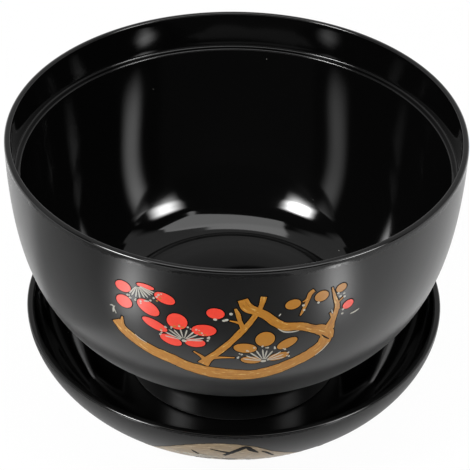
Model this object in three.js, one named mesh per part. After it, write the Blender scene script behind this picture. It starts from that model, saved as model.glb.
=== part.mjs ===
// Soup bowl with lid: a round moulded bowl that stands in its own upturned lid, used as a saucer.
// Millimetres, +Z up. The origin is the middle of the lid's standing ring, on the table.
import * as THREE from 'three';

// Bowl, measured from the bottom of its foot
const BOWL_RIM_DIAMETER = 150;
const BOWL_HEIGHT = 95;
const SEAT_WALL = 4.2;
const BOWL_FLOOR = 4;
const BOWL_DEPTH = 74.4;
const RIM_WALL = 2.1;
const LIP_OUTER_ROUND = 1.1;
const LIP_INNER_ROUND = 0.7;

// Seat for the lid inside the mouth
const SEAT_DEPTH = 13.4;
const MOUTH_DRAFT = 0.3;
const SEAT_FILLET = 0.6;
const SEAT_ROUND = 0.5;

// Inside of the bowl between the seat and the knuckle, where the wall turns into the floor
const KNUCKLE_WALL = 3.7;
const KNUCKLE_RISE = 9;
const KNUCKLE_SLOPE = THREE.MathUtils.degToRad(52);
const SEAT_SLOPE = THREE.MathUtils.degToRad(82);
const KNUCKLE_FULLNESS = 0.41;
const SEAT_FULLNESS = 0.315;

// Foot ring of the bowl
const FOOT_DIAMETER = 76;
const FOOT_HEIGHT = 18.2;
const FOOT_WALL = 3.5;
const FOOT_DRAFT = 1;
const FOOT_EDGE_ROUND = 0.8;
const FOOT_FILLET = 3;

// Lid, upturned, measured from the bottom of its ring
const LID_RISE = 29.5;
const LID_WALL = 2.5;
const LID_CROWN = 3.5;
const LID_RIM_ROUND = 0.9;
const LID_CLEARANCE = 0.6;
const FOOT_CLEARANCE = 4;

// Ring on the lid's crown: the grip of the closed lid and the foot of the saucer
const RING_DIAMETER = 58;
const RING_HEIGHT = 6.5;
const RING_WALL = 3;
const RING_DRAFT = 0.5;
const RING_EDGE_ROUND = 0.7;
const RING_FILLET = 1.5;

// Shape of the two swelling walls: the slope where the belly leaves the foot,
// and how far each end of a curve keeps its direction, as a share of the curve's reach
const BELLY_FOOT_SLOPE = THREE.MathUtils.degToRad(25);
const BELLY_FOOT_FULLNESS = 0.78;
const BELLY_RIM_FULLNESS = 0.585;
const LID_CROWN_FULLNESS = 0.58;
const LID_RIM_FULLNESS = 0.345;
const LID_FLOOR_BLEND_RISE = 2;

// Fineness of the turned surfaces
const TURN_STEPS = 64;
const CURVE_STEPS = 12;
const BLEND_STEPS = 6;
const ROUND_STEPS = 2;

const point = (radius, height) => new THREE.Vector2(radius, height);
const direction = (slope) => point(Math.cos(slope), Math.sin(slope));

// A point of the inner face that follows a curve at a wall's thickness
function innerPoint(outside, wall, t) {
  const along = outside.getTangent(t);
  return outside.getPoint(t).add(point(-along.y, along.x).multiplyScalar(wall));
}

// Where on the curve the inner face passes a height; both rise all the way
function innerParameter(outside, wall, height) {
  let low = 0;
  let high = 1;
  for (let halving = 0; halving < 40; halving += 1) {
    const middle = (low + high) / 2;
    if (innerPoint(outside, wall, middle).y < height) {
      low = middle;
    } else {
      high = middle;
    }
  }
  return low;
}

const innerAt = (outside, wall, height) => innerPoint(outside, wall, innerParameter(outside, wall, height));

// The corner between two neighbours, cut back by its round and bridged by a curve
function roundCorner(before, corner, after, round, steps) {
  const start = corner.clone().add(before.clone().sub(corner).setLength(round));
  const end = corner.clone().add(after.clone().sub(corner).setLength(round));
  return new THREE.QuadraticBezierCurve(start, corner, end).getPoints(steps);
}

// A run of corners, each [point, round]; the first and last points only give the direction
function roundedRun(first, corners, last) {
  const run = [first, ...corners.map(([corner]) => corner), last];
  return corners.flatMap(([corner, round], i) => roundCorner(run[i], corner, run[i + 2], round, ROUND_STEPS));
}

// The inside of a vessel from a height down to its flat floor, blended into it
function insideRun(outside, wall, topHeight, floorHeight, blendRise) {
  const top = innerParameter(outside, wall, topHeight);
  const bottom = innerParameter(outside, wall, floorHeight + blendRise);
  const run = [];
  for (let step = 0; step <= CURVE_STEPS; step += 1) {
    run.push(innerPoint(outside, wall, THREE.MathUtils.lerp(top, bottom, step / CURVE_STEPS)));
  }
  const start = run.pop();
  const slope = outside.getTangent(bottom);
  const corner = point(start.x - blendRise * slope.x / slope.y, floorHeight);
  const blend = roundCorner(start, corner, point(0, floorHeight), start.distanceTo(corner), BLEND_STEPS);
  return [...run, ...blend];
}

// Turns a profile, drawn from the axis under the piece round to the axis inside it, about +Z
function turnedPiece(name, profile, material) {
  const geometry = new THREE.LatheGeometry(profile, TURN_STEPS).rotateX(Math.PI / 2);
  const mesh = new THREE.Mesh(geometry, material);
  mesh.name = name;
  return mesh;
}

const blackLacquer = new THREE.MeshStandardMaterial({ color: 0x0d0c0d, roughness: 0.3, metalness: 0 });

const rimRadius = BOWL_RIM_DIAMETER / 2;
const mouthRadius = rimRadius - RIM_WALL;
const seatRadius = mouthRadius - MOUTH_DRAFT;
const seatHeight = BOWL_HEIGHT - SEAT_DEPTH;

function bowlProfile() {
  const footRadius = FOOT_DIAMETER / 2;
  const bore = footRadius - FOOT_WALL;
  const floorHeight = BOWL_HEIGHT - BOWL_DEPTH;
  const recess = floorHeight - BOWL_FLOOR;
  const junction = point(footRadius + FOOT_DRAFT, FOOT_HEIGHT);
  const slope = direction(BELLY_FOOT_SLOPE);
  const reach = (rimRadius - junction.x) / slope.x;
  const rise = BOWL_HEIGHT - FOOT_HEIGHT;
  const belly = new THREE.CubicBezierCurve(
    junction.clone().addScaledVector(slope, FOOT_FILLET),
    junction.clone().addScaledVector(slope, reach * BELLY_FOOT_FULLNESS),
    point(rimRadius, BOWL_HEIGHT - rise * BELLY_RIM_FULLNESS),
    point(rimRadius, BOWL_HEIGHT - LIP_OUTER_ROUND),
  );
  const foot = roundedRun(point(0, recess), [
    [point(bore - FOOT_DRAFT, recess), FOOT_EDGE_ROUND],
    [point(bore, 0), FOOT_EDGE_ROUND],
    [point(footRadius, 0), FOOT_EDGE_ROUND],
    [junction, FOOT_FILLET],
  ], belly.v0);
  const seatEdge = innerAt(belly, SEAT_WALL, seatHeight);
  const knuckle = innerAt(belly, KNUCKLE_WALL, floorHeight + KNUCKLE_RISE);
  const insideRise = seatEdge.y - knuckle.y;
  const insideCurve = new THREE.CubicBezierCurve(
    knuckle,
    knuckle.clone().addScaledVector(direction(KNUCKLE_SLOPE), insideRise * KNUCKLE_FULLNESS),
    seatEdge.clone().addScaledVector(direction(SEAT_SLOPE), -insideRise * SEAT_FULLNESS),
    seatEdge,
  );
  const inside = insideRun(insideCurve, 0, seatHeight - SEAT_ROUND, floorHeight, KNUCKLE_RISE);
  const mouth = roundedRun(belly.v3, [
    [point(rimRadius, BOWL_HEIGHT), LIP_OUTER_ROUND],
    [point(mouthRadius, BOWL_HEIGHT), LIP_INNER_ROUND],
    [point(seatRadius, seatHeight), SEAT_FILLET],
    [seatEdge, SEAT_ROUND],
  ], inside[0]);
  const bellyPoints = belly.getPoints(CURVE_STEPS).slice(1, -1);
  return [point(0, recess), ...foot, ...bellyPoints, ...mouth, ...inside.slice(1), point(0, floorHeight)];
}

const lidFloorHeight = RING_HEIGHT + LID_CROWN;

function lidProfile() {
  const lidRadius = seatRadius - LID_CLEARANCE;
  const rimHeight = RING_HEIGHT + LID_RISE;
  const ringRadius = RING_DIAMETER / 2;
  const bore = ringRadius - RING_WALL;
  const crownRadius = FOOT_DIAMETER / 2 + FOOT_CLEARANCE;
  const crownEdge = point(crownRadius, RING_HEIGHT);
  const outside = new THREE.CubicBezierCurve(
    crownEdge,
    point(crownRadius + (lidRadius - crownRadius) * LID_CROWN_FULLNESS, RING_HEIGHT),
    point(lidRadius, rimHeight - LID_RISE * LID_RIM_FULLNESS),
    point(lidRadius, rimHeight - LID_RIM_ROUND),
  );
  const ring = roundedRun(point(0, RING_HEIGHT), [
    [point(bore - RING_DRAFT, RING_HEIGHT), RING_FILLET],
    [point(bore, 0), RING_EDGE_ROUND],
    [point(ringRadius, 0), RING_EDGE_ROUND],
    [point(ringRadius + RING_DRAFT, RING_HEIGHT), RING_FILLET],
  ], crownEdge);
  const insideTop = rimHeight - LID_RIM_ROUND;
  const inside = insideRun(outside, LID_WALL, insideTop, lidFloorHeight, LID_FLOOR_BLEND_RISE);
  const rim = roundedRun(outside.v3, [
    [point(lidRadius, rimHeight), LID_RIM_ROUND],
    [point(lidRadius - LID_WALL, rimHeight), LID_RIM_ROUND],
  ], inside[0]);
  const lidPoints = outside.getPoints(CURVE_STEPS).slice(0, -1);
  return [point(0, RING_HEIGHT), ...ring, ...lidPoints, ...rim, ...inside.slice(1), point(0, lidFloorHeight)];
}

const lid = turnedPiece('lid', lidProfile(), blackLacquer);
const bowl = turnedPiece('bowl', bowlProfile(), blackLacquer);
bowl.position.z = lidFloorHeight;

const soupBowl = new THREE.Group();
soupBowl.add(lid, bowl);

export default soupBowl;
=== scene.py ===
# Soup bowl with lid: two turned pieces in black lacquer, with a plum branch printed on each of them.
import math

import bmesh
import bpy
from mathutils import Matrix, Vector, noise


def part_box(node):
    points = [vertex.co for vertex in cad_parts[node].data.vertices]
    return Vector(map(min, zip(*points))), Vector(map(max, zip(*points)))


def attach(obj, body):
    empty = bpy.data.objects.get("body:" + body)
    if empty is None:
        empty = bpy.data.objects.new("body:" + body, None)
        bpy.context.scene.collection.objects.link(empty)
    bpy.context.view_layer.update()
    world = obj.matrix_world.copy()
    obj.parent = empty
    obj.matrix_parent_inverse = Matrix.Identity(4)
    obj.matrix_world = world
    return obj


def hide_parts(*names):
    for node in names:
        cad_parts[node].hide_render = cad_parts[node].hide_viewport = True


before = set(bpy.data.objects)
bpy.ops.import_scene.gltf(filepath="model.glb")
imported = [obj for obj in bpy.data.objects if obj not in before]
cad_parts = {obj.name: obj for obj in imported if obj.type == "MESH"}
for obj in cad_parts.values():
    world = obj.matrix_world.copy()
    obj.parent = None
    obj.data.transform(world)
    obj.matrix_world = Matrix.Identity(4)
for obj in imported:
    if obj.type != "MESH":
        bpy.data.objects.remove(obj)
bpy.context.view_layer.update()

MM = 0.001

# Bowl, in millimetres, measured from the bottom of its foot
RIM_RADIUS = 75
BOWL_HEIGHT = 95
SEAT_WALL = 4.2
BOWL_FLOOR = 4
BOWL_DEPTH = 74.4
RIM_WALL = 2.1
LIP_OUTER_ROUND = 1.1
LIP_INNER_ROUND = 0.7
SEAT_DEPTH = 13.4
MOUTH_DRAFT = 0.3
SEAT_FILLET = 0.6
SEAT_ROUND = 0.5
FOOT_RADIUS = 38
FOOT_HEIGHT = 18.2
FOOT_WALL = 3.5
FOOT_DRAFT = 1
FOOT_EDGE_ROUND = 0.8
FOOT_FILLET = 3
BELLY_FOOT_SLOPE = math.radians(25)
BELLY_FOOT_FULLNESS = 0.78
BELLY_RIM_FULLNESS = 0.585

# Inside of the bowl between the seat of the lid and the knuckle, where the wall turns into the floor
KNUCKLE_WALL = 3.7
KNUCKLE_RISE = 9
KNUCKLE_SLOPE = math.radians(52)
SEAT_SLOPE = math.radians(82)
KNUCKLE_FULLNESS = 0.41
SEAT_FULLNESS = 0.315

# Lid, upturned, measured from the bottom of its ring
LID_CLEARANCE = 0.6
LID_RADIUS = RIM_RADIUS - RIM_WALL - MOUTH_DRAFT - LID_CLEARANCE
LID_RISE = 29.5
LID_WALL = 2.5
LID_CROWN = 3.5
LID_RIM_ROUND = 0.9
FOOT_CLEARANCE = 4
CROWN_RADIUS = FOOT_RADIUS + FOOT_CLEARANCE
RING_RADIUS = 29
RING_HEIGHT = 6.5
RING_WALL = 3
RING_DRAFT = 0.5
RING_EDGE_ROUND = 0.7
RING_FILLET = 1.5
LID_CROWN_FULLNESS = 0.58
LID_RIM_FULLNESS = 0.345
LID_FLOOR_BLEND_RISE = 2

# Fineness of the turned pieces
TURN_STEPS = 224
ROUND_STEPS = 6
CURVE_STEPS = 64
PROFILE_STEP = 1.6
HALVINGS = 40
SHARP_ANGLE = math.radians(40)
TURN_WELD = 0.001

# Down the outside from the lip: where the gloss coat of the inside ends, and how far its overspray reaches
BOWL_GLOSS_EDGE = 1.4
BOWL_GLOSS_REACH = 2.6
LID_GLOSS_EDGE = 0.9
LID_GLOSS_REACH = 1.4

# Ink, in millimetres above the wall: every film reaches a little into the coat, each later stroke lies a
# step higher, and the black key lines show round the colours by a margin
INK_BELOW = 0.03
KEY_INK = 0.035
COLOUR_INK = 0.08
PALE_INK = 0.12
STACK_STEP = 0.002
KEY_MARGIN = 0.35
FILM_WELD = 0.0002

# Fineness of the print
STROKE_STEP = 0.7
STROKE_COLUMNS = 6
OVAL_SIDES = 32
OVAL_SPLITS = 2
STEM_ROWS = 9
STEM_COLUMNS = 3
ANTHER_SIDES = 12
WALL_STEP = 0.5
WALL_FINE_STEP = 0.05

# Rough edges of the strokes: how far and how fast they stray, the width from which they are at their
# roughest, and the shifts that make each edge and each stroke differ
EDGE_ROUGHNESS = 0.22
EDGE_WAVES = 0.6
ROUGHEST_WIDTH = 4
EDGE_SHIFTS = (3.1, 7.9)
STROKE_SHIFT = 9.7
GRAIN_SHIFT = 40

# Stamens: width of the stem, radius of the first anther, and how far the second one strays and its share
# of the first one's size
STAMEN_WIDTH = 0.62
ANTHER_RADIUS = 0.36
ANTHER_STRAY = 0.9
SECOND_ANTHER = 0.7

# Stamens as shares of their length and width: least and most length, where the stem starts and how long it
# is, how narrow it is at the root and how blunt at the tip; and their sway, in radians
STAMEN_LEAST = 0.9
STAMEN_MOST = 1.08
STEM_START = 0.14
STEM_LENGTH = 0.66
ROOT_WIDTH = 0.35
TIP_BLUNTNESS = 0.04
TIP_POWER = 6.0
STAMEN_SWAY = 0.07

# How far the middle of the print stands to the left of the front
PRINT_TURN = math.radians(0.35)

# Surface of the coats and inks, in millimetres; a dust speck fills a share of its spacing
RELIEF = 0.02
PEEL_SIZE = 1.6
HAZE_SIZE = 22
DUST_SPACING = 14
DUST_SHARE = 0.016
GRAIN_SIZE = 0.5
CLOUD_SIZE = 9
MOTTLE_SIZE = 1.2

# Gloss overspray on the satin coat: the size of its specks, how far they are thrown, and where they fade
SPRAY_SIZE = 1.1
SPRAY_THROW = 2.4
SPRAY_FADE = 0.6

# Gold ink: bark lines to a millimetre across a stroke, how much slower they change along it, the size and
# weight of the mottle over them, and where the four golds stand in the mix
BARK_LINES = 1.5
BARK_STRETCH = 0.16
GOLD_MOTTLE_SIZE = 1.0
GOLD_MOTTLE_WEIGHT = 0.3
GOLD_STOPS = (0.42, 0.56, 0.74, 0.86)

# Share of the paper that is seen as pure white; the rest shows light and shade
SEEN_WHITE = 0.97


def feed(tree, node, inputs):
    """Sets a node's inputs, each to a value, a socket, a node's first output or a list of nodes."""
    for key, value in inputs.items():
        sources = value if isinstance(value, list) else [value]
        for source in sources:
            if isinstance(source, bpy.types.Node):
                source = source.outputs[0]
            if isinstance(source, bpy.types.NodeSocket):
                tree.links.new(source, node.inputs[key])
            else:
                node.inputs[key].default_value = source


def add(tree, kind, inputs=None, **settings):
    """Adds a node with its settings and inputs."""
    node = tree.nodes.new(kind)
    for name, value in settings.items():
        setattr(node, name, value)
    feed(tree, node, inputs or {})
    return node


def colour(hex_code):
    """An sRGB hex value as linear RGBA."""
    levels = [int(hex_code[i:i + 2], 16) / 255 for i in (1, 3, 5)]
    linear = [v / 12.92 if v <= 0.04045 else ((v + 0.055) / 1.055) ** 2.4 for v in levels]
    return (*linear, 1.0)


def fineness(size):
    """The scale that gives a texture on Object coordinates features of a size in millimetres."""
    return 1 / (size * MM)


# Materials

def new_material(name):
    """A material, its node tree, its shader and the place on the object."""
    material = bpy.data.materials.new(name)
    material.use_nodes = True
    tree = material.node_tree
    place = add(tree, "ShaderNodeTexCoord").outputs["Object"]
    return material, tree, tree.nodes["Principled BSDF"], place


def gloss_lacquer():
    """Black ABS, moulded and sprayed with gloss urethane: a mirror with faint orange peel and some dust."""
    material, tree, coat, place = new_material("black_abs_gloss_urethane")
    peel = add(tree, "ShaderNodeTexNoise", {"Vector": place, "Scale": fineness(PEEL_SIZE), "Detail": 1.0})
    dust = add(tree, "ShaderNodeTexVoronoi", {"Vector": place, "Scale": fineness(DUST_SPACING)})
    speck = add(tree, "ShaderNodeMath", {0: dust, 1: DUST_SHARE}, operation="LESS_THAN")
    tint = add(tree, "ShaderNodeMix", {0: speck, 6: colour("#070707"), 7: colour("#7c7a76")},
               data_type="RGBA")
    haze = add(tree, "ShaderNodeTexNoise", {"Vector": place, "Scale": fineness(HAZE_SIZE), "Detail": 4.0})
    polish = add(tree, "ShaderNodeMapRange", {"Value": haze, "To Min": 0.045, "To Max": 0.085})
    relief = add(tree, "ShaderNodeBump", {"Height": peel, "Strength": 0.05, "Distance": RELIEF * MM})
    feed(tree, coat, {"IOR": 1.5, "Base Color": tint.outputs[2], "Roughness": polish, "Normal": relief})
    return material


def satin_lacquer(name, gloss_reach, roughness, sheen_weight):
    """Black ABS sprayed with matted urethane: a soft glow, fine grain, and gloss specks near the lip."""
    material, tree, coat, place = new_material(name)
    drop = add(tree, "ShaderNodeAttribute", attribute_name="below_lip").outputs["Fac"]
    spray = add(tree, "ShaderNodeTexNoise", {"Vector": place, "Scale": fineness(SPRAY_SIZE), "Detail": 3.0})
    ragged = add(tree, "ShaderNodeMath", {0: spray, 1: SPRAY_THROW, 2: drop}, operation="MULTIPLY_ADD")
    gloss_end = gloss_reach + SPRAY_THROW / 2
    dullness = add(tree, "ShaderNodeMapRange", {
        "Value": ragged, "From Min": gloss_end - SPRAY_FADE / 2, "From Max": gloss_end + SPRAY_FADE / 2,
        "To Min": 0.12, "To Max": roughness})
    grain = add(tree, "ShaderNodeTexNoise", {"Vector": place, "Scale": fineness(GRAIN_SIZE), "Detail": 2.0})
    relief = add(tree, "ShaderNodeBump", {"Height": grain, "Strength": 0.1, "Distance": RELIEF * MM})
    cloud = add(tree, "ShaderNodeTexNoise", {"Vector": place, "Scale": fineness(CLOUD_SIZE), "Detail": 3.0})
    tint = add(tree, "ShaderNodeMix", {0: cloud, 6: colour("#080808"), 7: colour("#0c0c0c")},
               data_type="RGBA")
    feed(tree, coat, {"IOR": 1.36, "Sheen Weight": sheen_weight, "Sheen Roughness": 0.4,
                      "Base Color": tint.outputs[2], "Roughness": dullness, "Normal": relief})
    return material


def flat_ink(name, dark, light, roughness, ior):
    """Screen-printed ink, on a piece or a studio card: even, with fine mottle drawn coarse to show."""
    material, tree, film, place = new_material(name)
    mottle = add(tree, "ShaderNodeTexNoise", {"Vector": place, "Scale": fineness(MOTTLE_SIZE), "Detail": 3.0})
    tint = add(tree, "ShaderNodeMix", {0: mottle, 6: colour(dark), 7: colour(light)}, data_type="RGBA")
    relief = add(tree, "ShaderNodeBump", {"Height": mottle, "Strength": 0.1, "Distance": RELIEF * MM})
    feed(tree, film, {"IOR": ior, "Roughness": roughness, "Base Color": tint.outputs[2], "Normal": relief})
    return material


def grained_ink(name, deep, ground, upper, pale):
    """Ochre gold screen ink: drawn bark lines run along each stroke, paler and darker than the ground."""
    material, tree, film, place = new_material(name)
    along = add(tree, "ShaderNodeAttribute", attribute_name="grain_along").outputs["Fac"]
    across = add(tree, "ShaderNodeAttribute", attribute_name="grain_across").outputs["Fac"]
    lane = add(tree, "ShaderNodeMath", {0: along, 1: BARK_STRETCH}, operation="MULTIPLY")
    bark = add(tree, "ShaderNodeCombineXYZ", {"X": lane, "Y": across})
    lines = add(tree, "ShaderNodeTexNoise", {"Vector": bark, "Scale": BARK_LINES, "Detail": 3.0})
    mottle = add(tree, "ShaderNodeTexNoise", {"Vector": place, "Scale": fineness(GOLD_MOTTLE_SIZE),
                                              "Detail": 2.0})
    blend = add(tree, "ShaderNodeMath", {0: mottle, 1: GOLD_MOTTLE_WEIGHT, 2: lines},
                operation="MULTIPLY_ADD")
    tint = add(tree, "ShaderNodeValToRGB", {"Fac": blend})
    stops = tint.color_ramp.elements
    for position in GOLD_STOPS[1:-1]:
        stops.new(position)
    for stop, position, gold in zip(stops, GOLD_STOPS, (deep, ground, upper, pale)):
        stop.position = position
        stop.color = colour(gold)
    feed(tree, film, {"IOR": 1.34, "Roughness": 0.34, "Base Color": tint})
    return material


def white_sweep_paper():
    """Matt white paper that the camera and the lacquer see as white, with the object's shadow left on it."""
    material = bpy.data.materials.new("white_sweep_paper")
    material.use_nodes = True
    tree = material.node_tree
    tree.nodes.clear()
    path = add(tree, "ShaderNodeLightPath").outputs
    seen = add(tree, "ShaderNodeMath", {0: path["Is Camera Ray"], 1: path["Is Glossy Ray"]},
               operation="MAXIMUM")
    shown = add(tree, "ShaderNodeMath", {0: seen, 1: path["Is Transmission Ray"]}, operation="MAXIMUM")
    share = add(tree, "ShaderNodeMath", {0: shown, 1: SEEN_WHITE}, operation="MULTIPLY")
    paper = add(tree, "ShaderNodeBsdfDiffuse", {"Color": colour("#fafafa")})
    glow = add(tree, "ShaderNodeEmission", {"Color": colour("#ffffff"), "Strength": 1.0})
    both = add(tree, "ShaderNodeMixShader", {0: share, 1: paper, 2: glow})
    add(tree, "ShaderNodeOutputMaterial", {"Surface": both})
    return material


# Profiles, as points of radius and height in millimetres

def bezier(corners, t):
    """The point at t on a Bezier curve, and the curve's direction there."""
    points = corners
    while len(points) > 2:
        points = [a.lerp(b, t) for a, b in zip(points, points[1:])]
    return points[0].lerp(points[1], t), (points[1] - points[0]).normalized()


def direction(slope):
    """The way that a line of a slope runs."""
    return Vector((math.cos(slope), math.sin(slope)))


def curve_points(corners):
    """Points along a Bezier curve, both ends included."""
    return [bezier(corners, step / CURVE_STEPS)[0] for step in range(CURVE_STEPS + 1)]


def inner_point(outside, wall, t):
    """A point of the inner face that follows a wall's outside curve at the wall's thickness."""
    place, along = bezier(outside, t)
    return place + wall * Vector((-along.y, along.x))


def inner_parameter(outside, wall, height):
    """Where on the outside curve the inner face passes a height; both rise all the way."""
    low = 0.0
    high = 1.0
    for _ in range(HALVINGS):
        middle = (low + high) / 2
        if inner_point(outside, wall, middle).y < height:
            low = middle
        else:
            high = middle
    return low


def inner_at(outside, wall, height):
    """The point of the inner face at a height."""
    return inner_point(outside, wall, inner_parameter(outside, wall, height))


def round_corner(before, corner, after, size):
    """The corner between two neighbours, cut back by its round and bridged by a curve."""
    start = corner + (before - corner).normalized() * size
    end = corner + (after - corner).normalized() * size
    return [bezier((start, corner, end), step / ROUND_STEPS)[0] for step in range(ROUND_STEPS + 1)]


def rounded_run(first, corners, last):
    """A run of corners, each a point and its round; the first and last points only give the direction."""
    run = [first] + [corner for corner, _ in corners] + [last]
    points = []
    for i, (corner, size) in enumerate(corners):
        points += round_corner(run[i], corner, run[i + 2], size)
    return points


def inside_run(outside, wall, top_height, floor_height, blend_rise):
    """The inside of a vessel from a height down to its flat floor, blended into it."""
    top = inner_parameter(outside, wall, top_height)
    bottom = inner_parameter(outside, wall, floor_height + blend_rise)
    shares = [step / CURVE_STEPS for step in range(CURVE_STEPS + 1)]
    run = [inner_point(outside, wall, top + (bottom - top) * share) for share in shares]
    start = run.pop()
    slope = bezier(outside, bottom)[1]
    corner = Vector((start.x - blend_rise * slope.x / slope.y, floor_height))
    return run + round_corner(start, corner, Vector((0, floor_height)), (start - corner).length)


def even(points, step):
    """The same line with points at most a step apart, and none closer than a tenth of it."""
    line = [points[0]]
    for target in points[1:]:
        start = line[-1]
        gap = (target - start).length
        if gap < step / 10:
            continue
        pieces = math.ceil(gap / step)
        line += [start.lerp(target, piece / pieces) for piece in range(1, pieces + 1)]
    return line


def belly_curve():
    """The bowl's outside from the foot to the lip."""
    junction = Vector((FOOT_RADIUS + FOOT_DRAFT, FOOT_HEIGHT))
    slope = direction(BELLY_FOOT_SLOPE)
    reach = (RIM_RADIUS - junction.x) / slope.x
    rise = BOWL_HEIGHT - FOOT_HEIGHT
    return (
        junction + slope * FOOT_FILLET,
        junction + slope * reach * BELLY_FOOT_FULLNESS,
        Vector((RIM_RADIUS, BOWL_HEIGHT - rise * BELLY_RIM_FULLNESS)),
        Vector((RIM_RADIUS, BOWL_HEIGHT - LIP_OUTER_ROUND)),
    )


def lid_curve():
    """The lid's outside from the crown to the rim."""
    rim_height = RING_HEIGHT + LID_RISE
    return (
        Vector((CROWN_RADIUS, RING_HEIGHT)),
        Vector((CROWN_RADIUS + (LID_RADIUS - CROWN_RADIUS) * LID_CROWN_FULLNESS, RING_HEIGHT)),
        Vector((LID_RADIUS, rim_height - LID_RISE * LID_RIM_FULLNESS)),
        Vector((LID_RADIUS, rim_height - LID_RIM_ROUND)),
    )


def inside_curve(knuckle, seat_edge):
    """The bowl's inside from the knuckle to the seat of the lid."""
    rise = seat_edge.y - knuckle.y
    return (
        knuckle,
        knuckle + direction(KNUCKLE_SLOPE) * rise * KNUCKLE_FULLNESS,
        seat_edge - direction(SEAT_SLOPE) * rise * SEAT_FULLNESS,
        seat_edge,
    )


def bowl_profile():
    """The bowl's section from the axis under it, round the lip, to the axis inside it."""
    belly = belly_curve()
    bore = FOOT_RADIUS - FOOT_WALL
    floor_height = BOWL_HEIGHT - BOWL_DEPTH
    recess = floor_height - BOWL_FLOOR
    seat_height = BOWL_HEIGHT - SEAT_DEPTH
    mouth_radius = RIM_RADIUS - RIM_WALL
    foot = rounded_run(Vector((0, recess)), [
        (Vector((bore - FOOT_DRAFT, recess)), FOOT_EDGE_ROUND),
        (Vector((bore, 0)), FOOT_EDGE_ROUND),
        (Vector((FOOT_RADIUS, 0)), FOOT_EDGE_ROUND),
        (Vector((FOOT_RADIUS + FOOT_DRAFT, FOOT_HEIGHT)), FOOT_FILLET),
    ], belly[0])
    seat_edge = inner_at(belly, SEAT_WALL, seat_height)
    knuckle = inner_at(belly, KNUCKLE_WALL, floor_height + KNUCKLE_RISE)
    wall = inside_curve(knuckle, seat_edge)
    inside = inside_run(wall, 0, seat_height - SEAT_ROUND, floor_height, KNUCKLE_RISE)
    mouth = rounded_run(belly[3], [
        (Vector((RIM_RADIUS, BOWL_HEIGHT)), LIP_OUTER_ROUND),
        (Vector((mouth_radius, BOWL_HEIGHT)), LIP_INNER_ROUND),
        (Vector((mouth_radius - MOUTH_DRAFT, seat_height)), SEAT_FILLET),
        (seat_edge, SEAT_ROUND),
    ], inside[0])
    ends = Vector((0, recess)), Vector((0, floor_height))
    return even([ends[0]] + foot + curve_points(belly) + mouth + inside + [ends[1]], PROFILE_STEP)


def lid_profile():
    """The upturned lid's section from the axis under it, round the rim, to the axis inside it."""
    outside = lid_curve()
    rim_height = RING_HEIGHT + LID_RISE
    floor_height = RING_HEIGHT + LID_CROWN
    bore = RING_RADIUS - RING_WALL
    ring = rounded_run(Vector((0, RING_HEIGHT)), [
        (Vector((bore - RING_DRAFT, RING_HEIGHT)), RING_FILLET),
        (Vector((bore, 0)), RING_EDGE_ROUND),
        (Vector((RING_RADIUS, 0)), RING_EDGE_ROUND),
        (Vector((RING_RADIUS + RING_DRAFT, RING_HEIGHT)), RING_FILLET),
    ], outside[0])
    inside = inside_run(outside, LID_WALL, rim_height - LID_RIM_ROUND, floor_height, LID_FLOOR_BLEND_RISE)
    rim = rounded_run(outside[3], [
        (Vector((LID_RADIUS, rim_height)), LID_RIM_ROUND),
        (Vector((LID_RADIUS - LID_WALL, rim_height)), LID_RIM_ROUND),
    ], inside[0])
    ends = Vector((0, RING_HEIGHT)), Vector((0, floor_height))
    return even([ends[0]] + ring + curve_points(outside) + rim + inside + [ends[1]], PROFILE_STEP)


# Node trees

def new_tree(name, inputs):
    """A geometry node tree with a geometry and named inputs, and its input sockets."""
    tree = bpy.data.node_groups.new(name, "GeometryNodeTree")
    tree.interface.new_socket("Geometry", in_out="INPUT", socket_type="NodeSocketGeometry")
    for label, kind in inputs:
        tree.interface.new_socket(label, in_out="INPUT", socket_type="NodeSocket" + kind)
    tree.interface.new_socket("Geometry", in_out="OUTPUT", socket_type="NodeSocketGeometry")
    return tree, add(tree, "NodeGroupInput").outputs


def inked(tree, shape, ink):
    """Ends a tree: its shape made real, in one ink."""
    whole = add(tree, "GeometryNodeRealizeInstances", {"Geometry": shape})
    printed = add(tree, "GeometryNodeSetMaterial", {"Geometry": whole, "Material": ink})
    add(tree, "NodeGroupOutput", {"Geometry": printed})
    return tree


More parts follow.
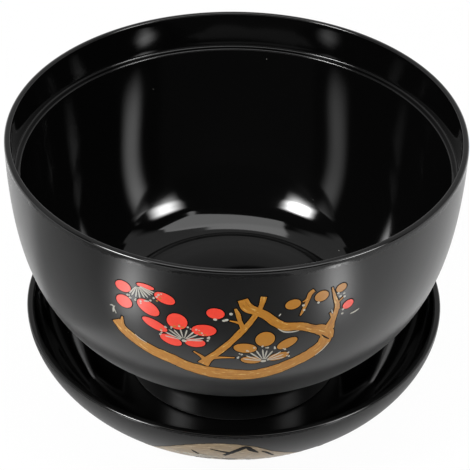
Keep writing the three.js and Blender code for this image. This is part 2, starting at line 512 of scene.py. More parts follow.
def turning_tree():
    """Turns a section about the axis, with one coat up to the end of the gloss and another beyond it."""
    tree, given = new_tree("turned_on_a_lathe", (
        ("Turn Steps", "Int"), ("Gloss Edge", "Float"), ("Inside Coat", "Material"),
        ("Outside Coat", "Material")))
    line = given["Geometry"]
    size = add(tree, "GeometryNodeAttributeDomainSize", {"Geometry": line}).outputs["Point Count"]
    columns = add(tree, "ShaderNodeMath", {0: given["Turn Steps"], 1: 1.0}, operation="ADD")
    sheet = add(tree, "GeometryNodeMeshGrid", {"Vertices X": columns, "Vertices Y": size})
    index = add(tree, "GeometryNodeInputIndex")
    row = add(tree, "FunctionNodeIntegerMath", {0: index, 1: size}, operation="MODULO")
    column = add(tree, "FunctionNodeIntegerMath", {0: index, 1: size}, operation="DIVIDE_FLOOR")
    share = add(tree, "ShaderNodeMath", {0: column, 1: given["Turn Steps"]}, operation="DIVIDE")
    angle = add(tree, "ShaderNodeMath", {0: share, 1: math.tau}, operation="MULTIPLY")
    place = add(tree, "GeometryNodeInputPosition")
    section = add(tree, "GeometryNodeSampleIndex", {"Geometry": line, "Value": place, "Index": row},
                  data_type="FLOAT_VECTOR")
    drop = add(tree, "GeometryNodeInputNamedAttribute", {"Name": "below_lip"}, data_type="FLOAT")
    fall = add(tree, "GeometryNodeSampleIndex", {"Geometry": line, "Value": drop, "Index": row},
               data_type="FLOAT")
    turned = add(tree, "ShaderNodeVectorRotate", {"Vector": section, "Angle": angle},
                 rotation_type="Z_AXIS")
    marked = add(tree, "GeometryNodeStoreNamedAttribute", {"Geometry": sheet, "Name": "below_lip",
                                                           "Value": fall}, data_type="FLOAT", domain="POINT")
    bent = add(tree, "GeometryNodeSetPosition", {"Geometry": marked, "Position": turned})
    closed = add(tree, "GeometryNodeMergeByDistance", {"Geometry": bent, "Distance": TURN_WELD * MM})
    whole = add(tree, "GeometryNodeRealizeInstances", {"Geometry": closed})
    inner = add(tree, "GeometryNodeSetMaterial", {"Geometry": whole, "Material": given["Inside Coat"]})
    outside = add(tree, "FunctionNodeCompare", {0: drop, 1: given["Gloss Edge"]}, data_type="FLOAT",
                  operation="GREATER_THAN")
    coated = add(tree, "GeometryNodeSetMaterial", {"Geometry": inner, "Selection": outside,
                                                   "Material": given["Outside Coat"]})
    add(tree, "NodeGroupOutput", {"Geometry": coated})
    return tree


def oval_tree():
    """Lays an oval on every mark of a sheet, in the size and turn that the mark carries."""
    tree, given = new_tree("ovals_on_marks", (("Sides", "Int"), ("Ink", "Material")))
    half = add(tree, "GeometryNodeInputNamedAttribute", {"Name": "half_size"}, data_type="FLOAT_VECTOR")
    turn = add(tree, "GeometryNodeInputNamedAttribute", {"Name": "turn"}, data_type="FLOAT")
    disc = add(tree, "GeometryNodeMeshCircle", {"Vertices": given["Sides"], "Radius": 1.0},
               fill_type="TRIANGLE_FAN")
    split = add(tree, "GeometryNodeSubdivideMesh", {"Mesh": disc, "Level": OVAL_SPLITS})
    euler = add(tree, "ShaderNodeCombineXYZ", {"Z": turn})
    spin = add(tree, "FunctionNodeEulerToRotation", {"Euler": euler})
    laid = add(tree, "GeometryNodeInstanceOnPoints", {"Points": given["Geometry"], "Instance": split,
                                                      "Rotation": spin, "Scale": half})
    return inked(tree, laid, given["Ink"])


def stamen_tree():
    """Fans stamens out from the heart of a blossom: a club-shaped stem each, with two anthers at its tip."""
    tree, given = new_tree("stamen_fan", (
        ("Count", "Int"), ("Start", "Float"), ("Sweep", "Float"), ("Reach", "Vector"), ("Heart", "Vector"),
        ("Width", "Float"), ("Anther", "Float"), ("Seed", "Int"), ("Ink", "Material")))
    index = add(tree, "GeometryNodeInputIndex")
    last = add(tree, "ShaderNodeMath", {0: given["Count"], 1: 1.0}, operation="SUBTRACT")
    share = add(tree, "ShaderNodeMath", {0: index, 1: last}, operation="DIVIDE")
    sway = add(tree, "FunctionNodeRandomValue", {2: -STAMEN_SWAY, 3: STAMEN_SWAY, 8: given["Seed"]},
               data_type="FLOAT")
    swept = add(tree, "ShaderNodeMath", {0: given["Sweep"], 1: share, 2: given["Start"]},
                operation="MULTIPLY_ADD")
    angle = add(tree, "ShaderNodeMath", {0: swept, 1: sway.outputs[1]}, operation="ADD")
    cosine = add(tree, "ShaderNodeMath", {0: angle}, operation="COSINE")
    sine = add(tree, "ShaderNodeMath", {0: angle}, operation="SINE")
    unit = add(tree, "ShaderNodeCombineXYZ", {"X": cosine, "Y": sine})
    wide = add(tree, "ShaderNodeVectorMath", {0: unit, 1: given["Reach"]}, operation="MULTIPLY")
    vary = add(tree, "FunctionNodeRandomValue", {2: STAMEN_LEAST, 3: STAMEN_MOST, 8: given["Seed"]},
               data_type="FLOAT")
    spoke = add(tree, "ShaderNodeVectorMath", {0: wide, "Scale": vary.outputs[1]}, operation="SCALE")
    length = add(tree, "ShaderNodeVectorMath", {0: spoke}, operation="LENGTH").outputs["Value"]
    parts = add(tree, "ShaderNodeSeparateXYZ", {0: spoke}).outputs
    heading = add(tree, "ShaderNodeMath", {0: parts["Y"], 1: parts["X"]}, operation="ARCTAN2")
    euler = add(tree, "ShaderNodeCombineXYZ", {"Z": heading})
    spin = add(tree, "FunctionNodeEulerToRotation", {"Euler": euler})
    points = add(tree, "GeometryNodePoints", {"Count": given["Count"]})

    strip = add(tree, "GeometryNodeMeshGrid", {"Size X": 1.0, "Size Y": 1.0, "Vertices X": STEM_ROWS,
                                               "Vertices Y": STEM_COLUMNS})
    flat = add(tree, "ShaderNodeSeparateXYZ", {0: add(tree, "GeometryNodeInputPosition")}).outputs
    run = add(tree, "ShaderNodeMath", {0: flat["X"], 1: 0.5}, operation="ADD")
    swell = add(tree, "ShaderNodeMath", {0: run, 1: 1 - ROOT_WIDTH, 2: ROOT_WIDTH}, operation="MULTIPLY_ADD")
    tip_fall = add(tree, "ShaderNodeMath", {0: run, 1: TIP_POWER}, operation="POWER")
    tip_left = add(tree, "ShaderNodeMath", {0: 1 + TIP_BLUNTNESS, 1: tip_fall}, operation="SUBTRACT")
    tip_round = add(tree, "ShaderNodeMath", {0: tip_left}, operation="SQRT")
    club = add(tree, "ShaderNodeMath", {0: swell, 1: tip_round}, operation="MULTIPLY")
    side = add(tree, "ShaderNodeMath", {0: flat["Y"], 1: club}, operation="MULTIPLY")
    drawn = add(tree, "ShaderNodeCombineXYZ", {"X": run, "Y": side})
    stem = add(tree, "GeometryNodeSetPosition", {"Geometry": strip, "Position": drawn})

    root_step = add(tree, "ShaderNodeVectorMath", {0: spoke, "Scale": STEM_START}, operation="SCALE")
    root = add(tree, "ShaderNodeVectorMath", {0: given["Heart"], 1: root_step}, operation="ADD")
    rooted = add(tree, "GeometryNodeSetPosition", {"Geometry": points, "Position": root})
    stem_length = add(tree, "ShaderNodeMath", {0: length, 1: STEM_LENGTH}, operation="MULTIPLY")
    stem_size = add(tree, "ShaderNodeCombineXYZ", {"X": stem_length, "Y": given["Width"], "Z": 1.0})
    stems = add(tree, "GeometryNodeInstanceOnPoints", {"Points": rooted, "Instance": stem,
                                                       "Rotation": spin, "Scale": stem_size})

    dot = add(tree, "GeometryNodeMeshCircle", {"Vertices": ANTHER_SIDES, "Radius": given["Anther"]},
              fill_type="TRIANGLE_FAN")
    tip = add(tree, "ShaderNodeVectorMath", {0: given["Heart"], 1: spoke}, operation="ADD")
    tipped = add(tree, "GeometryNodeSetPosition", {"Geometry": points, "Position": tip})
    far = Vector((ANTHER_STRAY, ANTHER_STRAY, 0)) * MM
    stray = add(tree, "FunctionNodeRandomValue", {0: -far, 1: far, 8: given["Seed"]},
                data_type="FLOAT_VECTOR")
    second = add(tree, "ShaderNodeVectorMath", {0: tip, 1: stray}, operation="ADD")
    strayed = add(tree, "GeometryNodeSetPosition", {"Geometry": points, "Position": second})
    first_dots = add(tree, "GeometryNodeInstanceOnPoints", {"Points": tipped, "Instance": dot})
    second_dots = add(tree, "GeometryNodeInstanceOnPoints", {"Points": strayed, "Instance": dot,
                                                             "Scale": (SECOND_ANTHER, SECOND_ANTHER, 1.0)})
    fan = add(tree, "GeometryNodeJoinGeometry", {0: [stems, first_dots, second_dots]})
    return inked(tree, fan, given["Ink"])


def wall_tree():
    """Lays a flat sheet of ink round a wall: across becomes the way round, down the way along the section."""
    tree, given = new_tree("ink_laid_on_wall", (
        ("Wall", "Object"), ("Wall Step", "Float"), ("Girth", "Float"), ("Below", "Float"), ("Film", "Float"),
        ("Ink", "Material")))
    up = add(tree, "ShaderNodeCombineXYZ", {"Z": 1.0})
    raised = add(tree, "GeometryNodeExtrudeMesh", {"Mesh": given["Geometry"], "Offset": up,
                                                   "Offset Scale": given["Film"], "Individual": False},
                 mode="FACES")
    underside = add(tree, "GeometryNodeFlipFaces", {"Mesh": given["Geometry"]})
    both = add(tree, "GeometryNodeJoinGeometry", {0: [raised, underside]})
    film = add(tree, "GeometryNodeMergeByDistance", {"Geometry": both, "Distance": FILM_WELD * MM})
    place = add(tree, "GeometryNodeInputPosition")
    flat = add(tree, "ShaderNodeSeparateXYZ", {0: place}).outputs
    steps = add(tree, "ShaderNodeMath", {0: flat["Y"], 1: given["Wall Step"]}, operation="DIVIDE")
    whole_steps = add(tree, "ShaderNodeMath", {0: steps}, operation="FLOOR")
    rest = add(tree, "ShaderNodeMath", {0: steps}, operation="FRACT")
    next_step = add(tree, "ShaderNodeMath", {0: whole_steps, 1: 1.0}, operation="ADD")
    wall = add(tree, "GeometryNodeObjectInfo", {"Object": given["Wall"]}).outputs["Geometry"]
    above = add(tree, "GeometryNodeSampleIndex", {"Geometry": wall, "Value": place, "Index": whole_steps},
                data_type="FLOAT_VECTOR")
    below = add(tree, "GeometryNodeSampleIndex", {"Geometry": wall, "Value": place, "Index": next_step},
                data_type="FLOAT_VECTOR")
    spot = add(tree, "ShaderNodeMix", {0: rest, 4: above, 5: below}, data_type="VECTOR")
    down = add(tree, "ShaderNodeVectorMath", {0: below, 1: above}, operation="SUBTRACT")
    out = add(tree, "ShaderNodeVectorMath", {0: down, 1: (0, 1, 0)}, operation="CROSS_PRODUCT")
    outward = add(tree, "ShaderNodeVectorMath", {0: out}, operation="NORMALIZE")
    lift = add(tree, "ShaderNodeMath", {0: flat["Z"], 1: given["Below"]}, operation="SUBTRACT")
    proud = add(tree, "ShaderNodeVectorMath", {0: outward, "Scale": lift}, operation="SCALE")
    section = add(tree, "ShaderNodeVectorMath", {0: spot.outputs[1], 1: proud}, operation="ADD")
    way = add(tree, "ShaderNodeMath", {0: flat["X"], 1: given["Girth"]}, operation="DIVIDE")
    angle = add(tree, "ShaderNodeMath", {0: way, 1: math.pi / 2 + PRINT_TURN}, operation="SUBTRACT")
    round_wall = add(tree, "ShaderNodeVectorRotate", {"Vector": section, "Angle": angle},
                     rotation_type="Z_AXIS")
    laid = add(tree, "GeometryNodeSetPosition", {"Geometry": film, "Position": round_wall})
    return inked(tree, laid, given["Ink"])


# Building blocks of the pieces

def put(name, mesh):
    """A mesh as an object of the scene."""
    piece = bpy.data.objects.new(name, mesh)
    bpy.context.scene.collection.objects.link(piece)
    return piece


def shape_with(piece, tree, values):
    """Gives an object a node tree as its next modifier, with values for the tree's named inputs."""
    modifier = piece.modifiers.new(tree.name, "NODES")
    modifier.node_group = tree
    for socket in tree.interface.items_tree:
        if socket.in_out == "INPUT" and socket.name in values:
            modifier[socket.identifier] = values[socket.name]


def settle(piece):
    """Turns an object's evaluated shape into its plain mesh, with faces pointing outwards."""
    graph = bpy.context.evaluated_depsgraph_get()
    mesh = bpy.data.meshes.new_from_object(piece.evaluated_get(graph))
    piece.modifiers.clear()
    piece.data = mesh
    shell = bmesh.new()
    shell.from_mesh(mesh)
    bmesh.ops.recalc_face_normals(shell, faces=shell.faces)
    shell.to_mesh(mesh)
    shell.free()
    mesh.polygons.foreach_set("use_smooth", [True] * len(mesh.polygons))
    mesh.set_sharp_from_angle(angle=SHARP_ANGLE)


def section_object(name, points, lift):
    """A section as a line of points, each with its distance down the outside from the top of the lip."""
    mesh = bpy.data.meshes.new(name)
    mesh.from_pydata([(p.x * MM, 0, (p.y + lift) * MM) for p in points], [], [])
    lip = max(range(len(points)), key=lambda i: points[i].y)
    gaps = [(b - a).length for a, b in zip(points, points[1:])]
    drops = [sum(gaps[i:lip]) - sum(gaps[lip:i]) for i in range(len(points))]
    mesh.attributes.new("below_lip", "FLOAT", "POINT").data.foreach_set("value", drops)
    return put(name, mesh)


def turned_piece(name, points, lift, gloss_edge, coats):
    """A body of revolution in two coats, from its section in millimetres."""
    piece = section_object(name, points, lift)
    shape_with(piece, TURNING, {"Turn Steps": TURN_STEPS, "Gloss Edge": gloss_edge, "Inside Coat": coats[0],
                                "Outside Coat": coats[1]})
    settle(piece)
    return piece


# Camera, where the photograph was taken from

CAMERA_PLACE = (0, -0.4352, 0.3973)
CAMERA_TILT = math.radians(52.28)
CAMERA_ROLL = math.radians(1)
LENS = 123.7
SENSOR_WIDTH = 36


def place_camera():
    """A long lens in front of the bowl and above it, tipped down and a little to one side."""
    data = bpy.data.cameras.new("camera")
    data.sensor_width = SENSOR_WIDTH
    data.lens = LENS
    camera = bpy.data.objects.new("camera", data)
    bpy.context.scene.collection.objects.link(camera)
    tilt = Matrix.Rotation(CAMERA_TILT, 4, "X")
    roll = Matrix.Rotation(CAMERA_ROLL, 4, "Z")
    camera.matrix_world = Matrix.Translation(CAMERA_PLACE) @ tilt @ roll
    bpy.context.scene.camera = camera


place_camera()

# Node trees and materials of the pieces

TURNING = turning_tree()
OVALS = oval_tree()
STAMENS = stamen_tree()
LAID_ON_WALL = wall_tree()

GLOSS = gloss_lacquer()
BOWL_SATIN = satin_lacquer("black_abs_satin_urethane_bowl", BOWL_GLOSS_REACH, roughness=0.28,
                           sheen_weight=0.14)
LID_SATIN = satin_lacquer("black_abs_satin_urethane_lid", LID_GLOSS_REACH, roughness=0.46,
                          sheen_weight=0.03)
RED_INK = flat_ink("vermilion_screen_ink", "#cc2c1a", "#d63c27", roughness=0.32, ior=1.42)
PALE_GREY_INK = flat_ink("silver_grey_screen_ink", "#8e8b81", "#aaa79d", roughness=0.38, ior=1.42)
BLACK_INK = flat_ink("black_key_screen_ink", "#040404", "#070606", roughness=0.5, ior=1.15)
GOLD_INK = grained_ink("gold_ochre_screen_ink", "#7b4f12", "#976316", "#9c691b", "#b99658")
# The lid's gold is the same ink as the bowl's, painted greyer and duller: a painted sheen for the reflection
# that the ink shows at grazing angles on the lid
LID_SHEEN_GREYED_GOLD_INK = grained_ink("gold_ochre_ink_greyed_as_painted_sheen", "#63533b", "#786649", "#7d6a4e", "#9b8c71")

# Bowl and lid

bowl_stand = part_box("bowl")[0][2] / MM

bowl = turned_piece("bowl_turned", bowl_profile(), bowl_stand, BOWL_GLOSS_EDGE, (GLOSS, BOWL_SATIN))
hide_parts("bowl")
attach(bowl, "bowl")

lid = turned_piece("lid_turned", lid_profile(), 0, LID_GLOSS_EDGE, (GLOSS, LID_SATIN))
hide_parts("lid")
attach(lid, "lid")

# Print of a plum branch, in millimetres on the unrolled wall: across from the middle of the front, and down
# from the lip. A stroke is a run of places with its width at each.

BOUGH = (
    (-37.3, 27.5, 3.2), (-34.8, 31, 3.9), (-30.2, 34.4, 4.3), (-25, 37.1, 4.6), (-19.3, 39.1, 5),
    (-13.5, 41.7, 4.8), (-6.3, 43.6, 5.8), (0.3, 44.4, 5.8), (7.2, 44.6, 5.2), (13.6, 42.8, 5.2),
    (19.5, 40.1, 4.8), (25.2, 36.9, 4.8), (28.9, 33.3, 4.5), (30.2, 29.8, 4.3),
)
UPPER_BRANCH = (
    (30.6, 31.5, 3.6), (29.9, 28.2, 4.6), (27.5, 26.1, 4), (25, 25, 3.1), (21, 23, 3.2),
    (16, 22.1, 3.3), (13.4, 20.3, 3), (10.5, 17.2, 2.9), (7.5, 15.1, 3), (4.4, 13.3, 3.6),
    (3.1, 10.2, 3.1),
)
RISING_BRANCH = (
    (-9, 39.4, 3.8), (-7.2, 36.4, 2.7), (-5, 33.8, 2.3), (-1.9, 30, 2.3), (0.3, 27, 2),
    (2.2, 24.2, 2.3), (4.6, 20.7, 1.9), (6.8, 16.8, 1.7), (8.5, 12.9, 1.5), (9.2, 9.3, 1.9),
)
RIGHT_TWIG = (
    (30.4, 26.5, 3.6), (31.2, 23.5, 2.2), (32, 20.4, 1.6), (32.4, 17.6, 1.6), (31.4, 14.2, 1.1),
    (30.2, 9.7, 0.4),
)
SIDE_TWIGS = (
    ((3.4, 21.8, 1.7), (2.4, 18.9, 1.3), (1.7, 15.8, 1.4), (0.9, 13.8, 0.7)),
    ((2.5, 19.8, 1), (1, 19.1, 0.7), (-0.7, 18.7, 0.4)),
    ((-8, 37.4, 1.9), (-9.4, 35.4, 1.1), (-11.8, 33.4, 0.5)),
    ((-6.2, 35.8, 1.3), (-3, 35.2, 0.8), (1, 35.2, 0.4)),
    ((24.4, 9.2, 1.3), (23.2, 10.2, 1.4), (22.4, 13, 1.1), (21.2, 16.6, 0.9), (20.5, 18.4, 0.4)),
    ((22.6, 12, 0.8), (21, 13, 0.3)),
    ((31.3, 22.2, 1), (30.2, 19.8, 0.4)),
    ((32.2, 16.6, 0.8), (34, 14.8, 0.4)),
    ((32.2, 19.4, 1.2), (33.2, 18.6, 0.5)),
    ((-34.6, 30.6, 1.8), (-35.2, 28, 1.5), (-34.8, 25, 0.5)),
)
PALE_STROKES = (
    ((13.9, 22.7, 0.2), (15.8, 24.3, 0.45), (18.2, 24.8, 0.5), (20.6, 24.7, 0.2)),
    ((27.2, 38.2, 0.2), (29.4, 36, 0.4), (31.2, 33.2, 0.2)),
    ((-31, 31.2, 0.2), (-29.4, 32.6, 0.4), (-27.2, 33.7, 0.2)),
    ((-38.9, 21.9, 0.2), (-38.1, 21.6, 0.5), (-37.6, 22, 0.5), (-37.8, 23.2, 0.6), (-38, 24.4, 0.3)),
    ((-37.7, 22.4, 0.4), (-37.1, 21.5, 0.3)),
    ((-37.7, 22.8, 0.5), (-37.2, 23.8, 0.5), (-36.9, 24.6, 0.2)),
    ((14, 17.4, 0.2), (14.5, 16.6, 0.4)),
    ((37.4, 22.8, 0.3), (39, 22.5, 0.6), (40.4, 21.8, 0.2)),
    ((30.6, 18.7, 0.2), (31, 20.2, 0.4)),
)
KNOT_CUT = ((28.2, 28.6, 0.2), (29.4, 30, 0.6), (31, 31.5, 0.4))

# An oval is its place, its half sizes across and down, and its turn in degrees.
RED_OVALS = (
    (-33.6, 12.1, 2.6, 2.1, 0), (-33.6, 18.1, 2.7, 2.5, 0), (-25.6, 17.8, 3.9, 2.5, 32),
    (-20.2, 12.6, 3.3, 2, 18), (-26.2, 9.6, 2.8, 0.9, 4), (-23.8, 24.3, 4.3, 1.8, 24),
    (-16.6, 21.1, 3.2, 3.3, 10), (-8.4, 23.4, 3.8, 2.4, -6), (-18.9, 29.7, 3.6, 2, 20),
    (-11.2, 29.3, 3.2, 1.9, -6), (-4.9, 16, 2.7, 2.1, 4), (36.1, 18.3, 1.9, 1.6, -35),
)
GOLD_OVALS = (
    (4.2, 30.6, 3.6, 2.1, 8), (10.2, 26.9, 3, 3.2, 0), (17.2, 29.7, 3.5, 1.9, -32),
    (6.2, 36.4, 3.3, 1.7, 8), (14.8, 35.5, 3.4, 1.7, -16), (18.1, 13.4, 2.4, 1.9, -10),
    (26.9, 12.1, 2.2, 2, -20), (33.2, 10.7, 1.8, 1.5, -35),
)
GOLD_SPECKS = (
    (-21.6, 12.8, 0.45, 0.35, 0), (-22.6, 14.2, 0.35, 0.3, 0), (-17.4, 23.3, 0.5, 0.35, 0),
    (-14.9, 23.2, 0.45, 0.35, 0), (-15.9, 22.3, 0.35, 0.3, 0), (-9.6, 24.6, 0.45, 0.35, 0),
    (-8, 25.2, 0.4, 0.3, 0), (-21.8, 25.6, 0.4, 0.3, 0),
)
PALE_DOTS = (
    (26, 14.4, 0.4, 0.4, 0), (21.3, 14.4, 0.45, 0.4, 0), (21.6, 16.3, 0.4, 0.4, 0),
    (32.3, 12.5, 0.35, 0.35, 0), (33.1, 14, 0.4, 0.4, 0), (34.5, 14.6, 0.45, 0.4, 0),
    (34.3, 13.2, 0.35, 0.35, 0), (34.5, 19.8, 0.4, 0.4, 0), (34.4, 21.5, 0.4, 0.4, 0),
    (-0.3, 15.9, 0.5, 0.5, 0), (-1.7, 18.4, 0.7, 0.45, -20), (-2.4, 18.7, 0.5, 0.4, 0),
    (-5, 18.4, 0.6, 0.45, 10), (-14.6, 29, 0.8, 0.5, 0), (10.1, 37.2, 0.9, 0.5, 0),
)

# A fan of stamens is its heart, first direction and sweep in degrees, reach across and down, and count.
STAMEN_FANS = (
    (-28.7, 9.8, 20, 98, 7.4, 5.9, 9),
    (-14.7, 28.7, -172, 164, 8, 5.9, 10),
    (10.2, 37.1, -168, 158, 8, 6.7, 10),
)


def smooth_line(knots, step):
    """Places about a step apart on a smooth curve through the knots; the width runs along."""
    knots = [Vector(knot) for knot in knots]
    line = [2 * knots[0] - knots[1]] + knots + [2 * knots[-1] - knots[-2]]
    places = []
    for a, b, c, d in zip(line, line[1:], line[2:], line[3:]):
        pieces = max(2, round((c - b).xy.length / step))
        for piece in range(pieces):
            t = piece / pieces
            bend = (2 * a - 5 * b + 4 * c - d) * t ** 2 + (3 * b - a - 3 * c + d) * t ** 3
            places.append((2 * b + (c - a) * t + bend) / 2)
    return places + [knots[-1]]


def stroke_sheet(name, strokes, margin):
    """Brush strokes with rough edges as one flat sheet; each later stroke lies a little higher."""
    corners = []
    faces = []
    along = []
    across = []
    for order, knots in enumerate(strokes):
        line = smooth_line(knots, STROKE_STEP)
        ends = (line[1] - line[0]).xy.normalized(), (line[-1] - line[-2]).xy.normalized()
        line[0] = Vector((*(line[0].xy - ends[0] * margin), line[0].z))
        line[-1] = Vector((*(line[-1].xy + ends[1] * margin), line[-1].z))
        first = len(corners)
        travelled = 0
        for i, place in enumerate(line):
            before = line[max(i - 1, 0)]
            after = line[min(i + 1, len(line) - 1)]
            heading = (after - before).xy.normalized()
            sideways = Vector((-heading.y, heading.x))
            travelled += (place - before).xy.length
            spots = [(travelled * EDGE_WAVES, order * STROKE_SHIFT, shift) for shift in EDGE_SHIFTS]
            rough = [EDGE_ROUGHNESS * noise.noise(spot) for spot in spots]
            limit = min(place.z / ROUGHEST_WIDTH, 1)
            half = [place.z / 2 + margin + edge * limit for edge in rough]
            for column in range(STROKE_COLUMNS + 1):
                share = 2 * column / STROKE_COLUMNS - 1
                reach = share * half[0] if share < 0 else share * half[1]
                spot = place.xy + sideways * reach
                corners.append((spot.x * MM, spot.y * MM, order * STACK_STEP * MM))
                along.append(travelled + order * GRAIN_SHIFT)
                across.append(reach)
        width = STROKE_COLUMNS + 1
        for row in range(len(line) - 1):
            for column in range(STROKE_COLUMNS):
                corner = first + row * width + column
                faces.append((corner, corner + 1, corner + width + 1, corner + width))
    mesh = bpy.data.meshes.new(name)
    mesh.from_pydata(corners, [], faces)
    mesh.attributes.new("grain_along", "FLOAT", "POINT").data.foreach_set("value", along)
    mesh.attributes.new("grain_across", "FLOAT", "POINT").data.foreach_set("value", across)
    return mesh


def oval_marks(name, ovals, margin):
    """One mark for each oval, with its half sizes and turn."""
    mesh = bpy.data.meshes.new(name)
    mesh.from_pydata([(x * MM, y * MM, i * STACK_STEP * MM) for i, (x, y, *_) in enumerate(ovals)], [], [])
    halves = []
    for _, _, half_x, half_y, _ in ovals:
        halves += [(half_x + margin) * MM, (half_y + margin) * MM, 1]
    mesh.attributes.new("half_size", "FLOAT_VECTOR", "POINT").data.foreach_set("vector", halves)
    turns = [math.radians(turn) for *_, turn in ovals]
    mesh.attributes.new("turn", "FLOAT", "POINT").data.foreach_set("value", turns)
    return mesh


def lay(piece, body, wall, girth, film, ink, slot):
    """Lays a sheet of ink on a wall of a body, as a finished piece."""
    shape_with(piece, LAID_ON_WALL, {"Wall": wall, "Wall Step": WALL_STEP * MM, "Girth": girth * MM,
                                     "Below": INK_BELOW * MM, "Film": film * MM, "Ink": ink})
    settle(piece)
    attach(piece, body)


def lay_strokes(name, strokes, margin, *laying):
    """Brush strokes on a wall."""
    lay(put(name, stroke_sheet(name, strokes, margin)), *laying)


def lay_ovals(name, ovals, margin, body, wall, girth, film, ink, slot):
    """Ovals on a wall."""
    piece = put(name, oval_marks(name, ovals, margin))
    shape_with(piece, OVALS, {"Sides": OVAL_SIDES, "Ink": ink})
    lay(piece, body, wall, girth, film, ink, slot)


def lay_stamens(name, fan, seed, body, wall, girth, film, ink, slot):
    """A fan of stamens on a wall."""
    x, y, start, sweep, reach_x, reach_y, count = fan
    piece = put(name, bpy.data.meshes.new(name))
    shape_with(piece, STAMENS, {"Count": count, "Start": math.radians(start), "Sweep": math.radians(sweep),
                                "Reach": (reach_x * MM, reach_y * MM, 0), "Heart": (x * MM, y * MM, 0),
                                "Width": STAMEN_WIDTH * MM, "Anther": ANTHER_RADIUS * MM, "Seed": seed,
                                "Ink": ink})
    lay(piece, body, wall, girth, film, ink, slot)


def print_branch(body, wall, girth, lacquer, strokes, reds, golds, gold_ink):
    """The key lines, branches and petals of a print, on a wall of a body."""
    on_wall = (body, wall, girth)
    key = (*on_wall, KEY_INK, BLACK_INK, lacquer)
    lay_strokes(f"{body}_branch_outline", strokes, KEY_MARGIN, *key)
    lay_ovals(f"{body}_petal_outline", reds + golds, KEY_MARGIN, *key)
    lay_strokes(f"{body}_branch", strokes, 0, *on_wall, COLOUR_INK, gold_ink, "gold_print")
    lay_ovals(f"{body}_red_petals", reds, 0, *on_wall, COLOUR_INK, RED_INK, "red_print")
    lay_ovals(f"{body}_gold_petals", golds, 0, *on_wall, COLOUR_INK, gold_ink, "gold_print")


def print_silver(body, wall, girth, dots, fans):
    """The pale dots and stamens of a print, on a wall of a body."""
    silver = (body, wall, girth, PALE_INK, PALE_GREY_INK, "silver_print")
    lay_ovals(f"{body}_pale_dots", dots, 0, *silver)
    for number, fan in enumerate(fans, 1):
        lay_stamens(f"{body}_stamens_{number}", fan, number, *silver)


def wall_line(name, lip, curve, lift):
    """A wall's outside from the lip down, as a line of points one step apart."""
    rough = even([Vector(lip)] + curve_points(curve)[::-1], WALL_FINE_STEP)
    points = [rough[0]]
    travelled = 0
    for a, b in zip(rough, rough[1:]):
        travelled += (b - a).length
        if travelled >= len(points) * WALL_STEP:
            points.append(b)
    return section_object(name, points, lift)


bowl_wall = wall_line("bowl_wall_line", (RIM_RADIUS, BOWL_HEIGHT), belly_curve(), bowl_stand)
lid_wall = wall_line("lid_wall_line", (LID_RADIUS, RING_HEIGHT + LID_RISE), lid_curve(), 0)

bowl_branches = (RISING_BRANCH, BOUGH, UPPER_BRANCH, RIGHT_TWIG) + SIDE_TWIGS
on_bowl = ("bowl", bowl_wall, RIM_RADIUS)

print_branch(*on_bowl, "bowl_lacquer", bowl_branches, RED_OVALS, GOLD_OVALS, GOLD_INK)
lay_strokes("bowl_pale_strokes", PALE_STROKES, 0, *on_bowl, PALE_INK, PALE_GREY_INK, "silver_print")
lay_strokes("bowl_knot_cut", (KNOT_CUT,), 0, *on_bowl, PALE_INK, BLACK_INK, "bowl_lacquer")
lay_ovals("bowl_gold_specks", GOLD_SPECKS, 0, *on_bowl, PALE_INK, GOLD_INK, "gold_print")
print_silver(*on_bowl, PALE_DOTS, STAMEN_FANS)

# Print of the lid: the same branch turned half round, with a broader bough along the rim

LID_TURN = 50.7
HALF_TURN = 180
LID_BOUGH_EDGE = 24
LID_BOUGH = (
    (-36, 31, 7), (-27, 23, 9), (-18.5, 15.6, 10.5), (-11, 11.8, 12.5), (-3, 10.2, 13.5),
    (5, 11.2, 13), (11, 14.4, 11), (18, 19.2, 10), (26, 26, 8), (32, 32, 5),
)
LID_GAPS = (
    ((-6.4, 7.2, 0.4), (-3, 8.5, 1), (0.4, 9.8, 1.2)),
    ((-2, 12.2, 1.4), (1.6, 8.2, 1.7), (5.2, 5.4, 1.6), (7, 7.4, 1.8), (9.4, 9.8, 0.6)),
    ((10.4, 8.8, 0.4), (12.2, 10.4, 1), (15, 14.6, 0.6)),
    ((-12.8, 9.6, 0.3), (-11.6, 11.6, 1), (-10.2, 13.8, 0.4)),
)


def half_turned(marks):
    """Marks turned half round in the plane of the print, set for the lid's rim."""
    return tuple((-x, LID_TURN - y, *rest) for x, y, *rest in marks)


# Petals that would lie under the bough are left out.
lid_red_petals = tuple(petal for petal in half_turned(RED_OVALS) if petal[1] > LID_BOUGH_EDGE)
lid_twigs = tuple(half_turned(line) for line in (RISING_BRANCH, UPPER_BRANCH, RIGHT_TWIG) + SIDE_TWIGS)
lid_branches = (LID_BOUGH,) + lid_twigs
lid_fans = [(x, y, start + HALF_TURN, *rest) for x, y, start, *rest in half_turned(STAMEN_FANS)]
on_lid = ("lid", lid_wall, LID_RADIUS)

# The lid's branch and gold petals take the grey copy of the gold ink, whose colour holds a painted sheen
print_branch(*on_lid, "lid_lacquer", lid_branches, lid_red_petals, half_turned(GOLD_OVALS), LID_SHEEN_GREYED_GOLD_INK)
lay_strokes("lid_gaps", LID_GAPS, 0, *on_lid, PALE_INK, BLACK_INK, "lid_lacquer")
print_silver(*on_lid, half_turned(PALE_DOTS), lid_fans)

for guide in (bowl_wall, lid_wall):
    bpy.data.objects.remove(guide)

# Studio: a white round sweep, cards and low lights on the table, two lamps in front and a dim panel overhead

# The sweep, in millimetres
SWEEP_RADIUS = 1800
SWEEP_HEIGHT = 600
SWEEP_ROUND = 300
SWEEP_STEP = 150

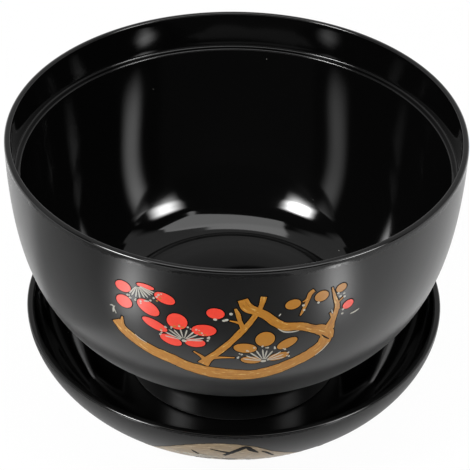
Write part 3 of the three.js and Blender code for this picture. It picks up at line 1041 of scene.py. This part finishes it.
SWEEP_PAPER = white_sweep_paper()
flat_edge = Vector((SWEEP_RADIUS - SWEEP_ROUND, 0))
sweep_top = Vector((SWEEP_RADIUS, SWEEP_HEIGHT))
sweep_section = [Vector((0, 0)), flat_edge]
sweep_section += round_corner(flat_edge, Vector((SWEEP_RADIUS, 0)), sweep_top, SWEEP_ROUND)
sweep_section.append(sweep_top)
sweep = turned_piece("white_sweep", even(sweep_section, SWEEP_STEP), 0, 0, (SWEEP_PAPER, SWEEP_PAPER))

# Cards, in metres
CARD_LIFT = 0.001
CARDS = (
    ("card_in_front", "matt_charcoal_card", "#383838", "#3c3c3c",
     ((-0.12, -0.62), (0.1, -0.62), (0.075, -0.115), (-0.085, -0.115))),
    ("card_left_of_front", "matt_dark_grey_card", "#6c6c6c", "#707070",
     ((-0.45, -0.45), (-0.085, -0.1), (-0.085, -0.062), (-0.45, -0.17))),
    ("card_on_the_left", "matt_light_grey_card", "#909090", "#949494",
     ((-0.45, -0.17), (-0.085, -0.062), (-0.085, 0.015), (-0.45, 0.05))),
)


def lay_card(name, corners, paper):
    """A card that lies on the table out of the picture, where the lacquer mirrors it."""
    mesh = bpy.data.meshes.new(name)
    mesh.from_pydata([(x, y, CARD_LIFT) for x, y in corners], [], [range(len(corners))])
    mesh.materials.append(paper)
    card = put(name, mesh)
    card.visible_camera = False
    card.visible_diffuse = False
    card.visible_shadow = False


for name, paper, dark, light, corners in CARDS:
    lay_card(name, corners, flat_ink(paper, dark, light, roughness=0.9, ior=1.4))

# Lights, in metres, and the strength of the room in front of the bowl and behind it
BOWL_MIDDLE = Vector((0, 0, 0.06))
DARK_FRONT = 0.01
GREY_BACK = 0.45
ROOM_BLEND = 0.12


def soft_strip(name, start, end, width, radiance, even_along, even_across):
    """A softbox between two places, facing the bowl; its even middle fades towards its edges."""
    start = Vector(start)
    end = Vector(end)
    place = (start + end) / 2
    along = (end - start).normalized()
    across = along.cross(place - BOWL_MIDDLE).normalized()
    data = bpy.data.lights.new(name, "AREA")
    data.shape = "RECTANGLE"
    data.size = width
    data.size_y = (end - start).length
    data.energy = radiance * math.pi * data.size * data.size_y
    data.use_nodes = True
    tree = data.node_tree
    place_on_box = add(tree, "ShaderNodeNewGeometry").outputs["Parametric"]
    spot = add(tree, "ShaderNodeSeparateXYZ", {0: place_on_box}).outputs
    fades = []
    for axis, even_share in (("X", even_across), ("Y", even_along)):
        offset = add(tree, "ShaderNodeMath", {0: spot[axis], 1: 0.5}, operation="SUBTRACT")
        distance = add(tree, "ShaderNodeMath", {0: offset}, operation="ABSOLUTE")
        fade = add(tree, "ShaderNodeMapRange", {"Value": distance, "From Min": even_share / 2,
                                                "From Max": 0.5, "To Min": 1.0, "To Max": 0.0},
                   interpolation_type="SMOOTHSTEP")
        fades.append(fade)
    glow = add(tree, "ShaderNodeMath", {0: fades[0], 1: fades[1]}, operation="MULTIPLY")
    feed(tree, tree.nodes["Emission"], {"Strength": glow})
    lamp = bpy.data.objects.new(name, data)
    bpy.context.scene.collection.objects.link(lamp)
    turn = Matrix((across, along, across.cross(along))).transposed().to_4x4()
    lamp.matrix_world = Matrix.Translation(place) @ turn
    lamp.visible_camera = False


def grey_room():
    """A room that is dark in front, where the camera stands, and grey behind the bowl."""
    world = bpy.data.worlds.new("grey_room")
    world.use_nodes = True
    tree = world.node_tree
    way = add(tree, "ShaderNodeTexCoord").outputs["Generated"]
    depth = add(tree, "ShaderNodeSeparateXYZ", {0: way}).outputs["Y"]
    strength = add(tree, "ShaderNodeMapRange", {"Value": depth, "From Min": 0.0, "From Max": ROOM_BLEND,
                                                "To Min": DARK_FRONT, "To Max": GREY_BACK})
    feed(tree, tree.nodes["Background"], {"Color": colour("#ffffff"), "Strength": strength})
    return world


soft_strip("lamp_left", (-0.41, -0.52, 0.62), (-0.66, -0.22, 0.6),
           width=0.3, radiance=62, even_along=0.1, even_across=0.0)
soft_strip("lamp_right", (0.46, -0.47, 0.6), (0.68, -0.14, 0.58),
           width=0.3, radiance=28, even_along=0.1, even_across=0.0)
soft_strip("panel_overhead", (-0.324, 0.128, 1.06), (0.559, -0.162, 1.06),
           width=0.52, radiance=2.7, even_along=0.94, even_across=0.94)
soft_strip("glow_left", (-0.083, -0.095, 0.003), (-0.143, -0.164, 0.003),
           width=0.045, radiance=13, even_along=0.4, even_across=0.0)
soft_strip("glow_right", (0.092, -0.104, 0.003), (0.15, -0.17, 0.003),
           width=0.05, radiance=13, even_along=0.4, even_across=0.0)

bpy.context.scene.world = grey_room()
bpy.context.scene.view_settings.view_transform = "Standard"
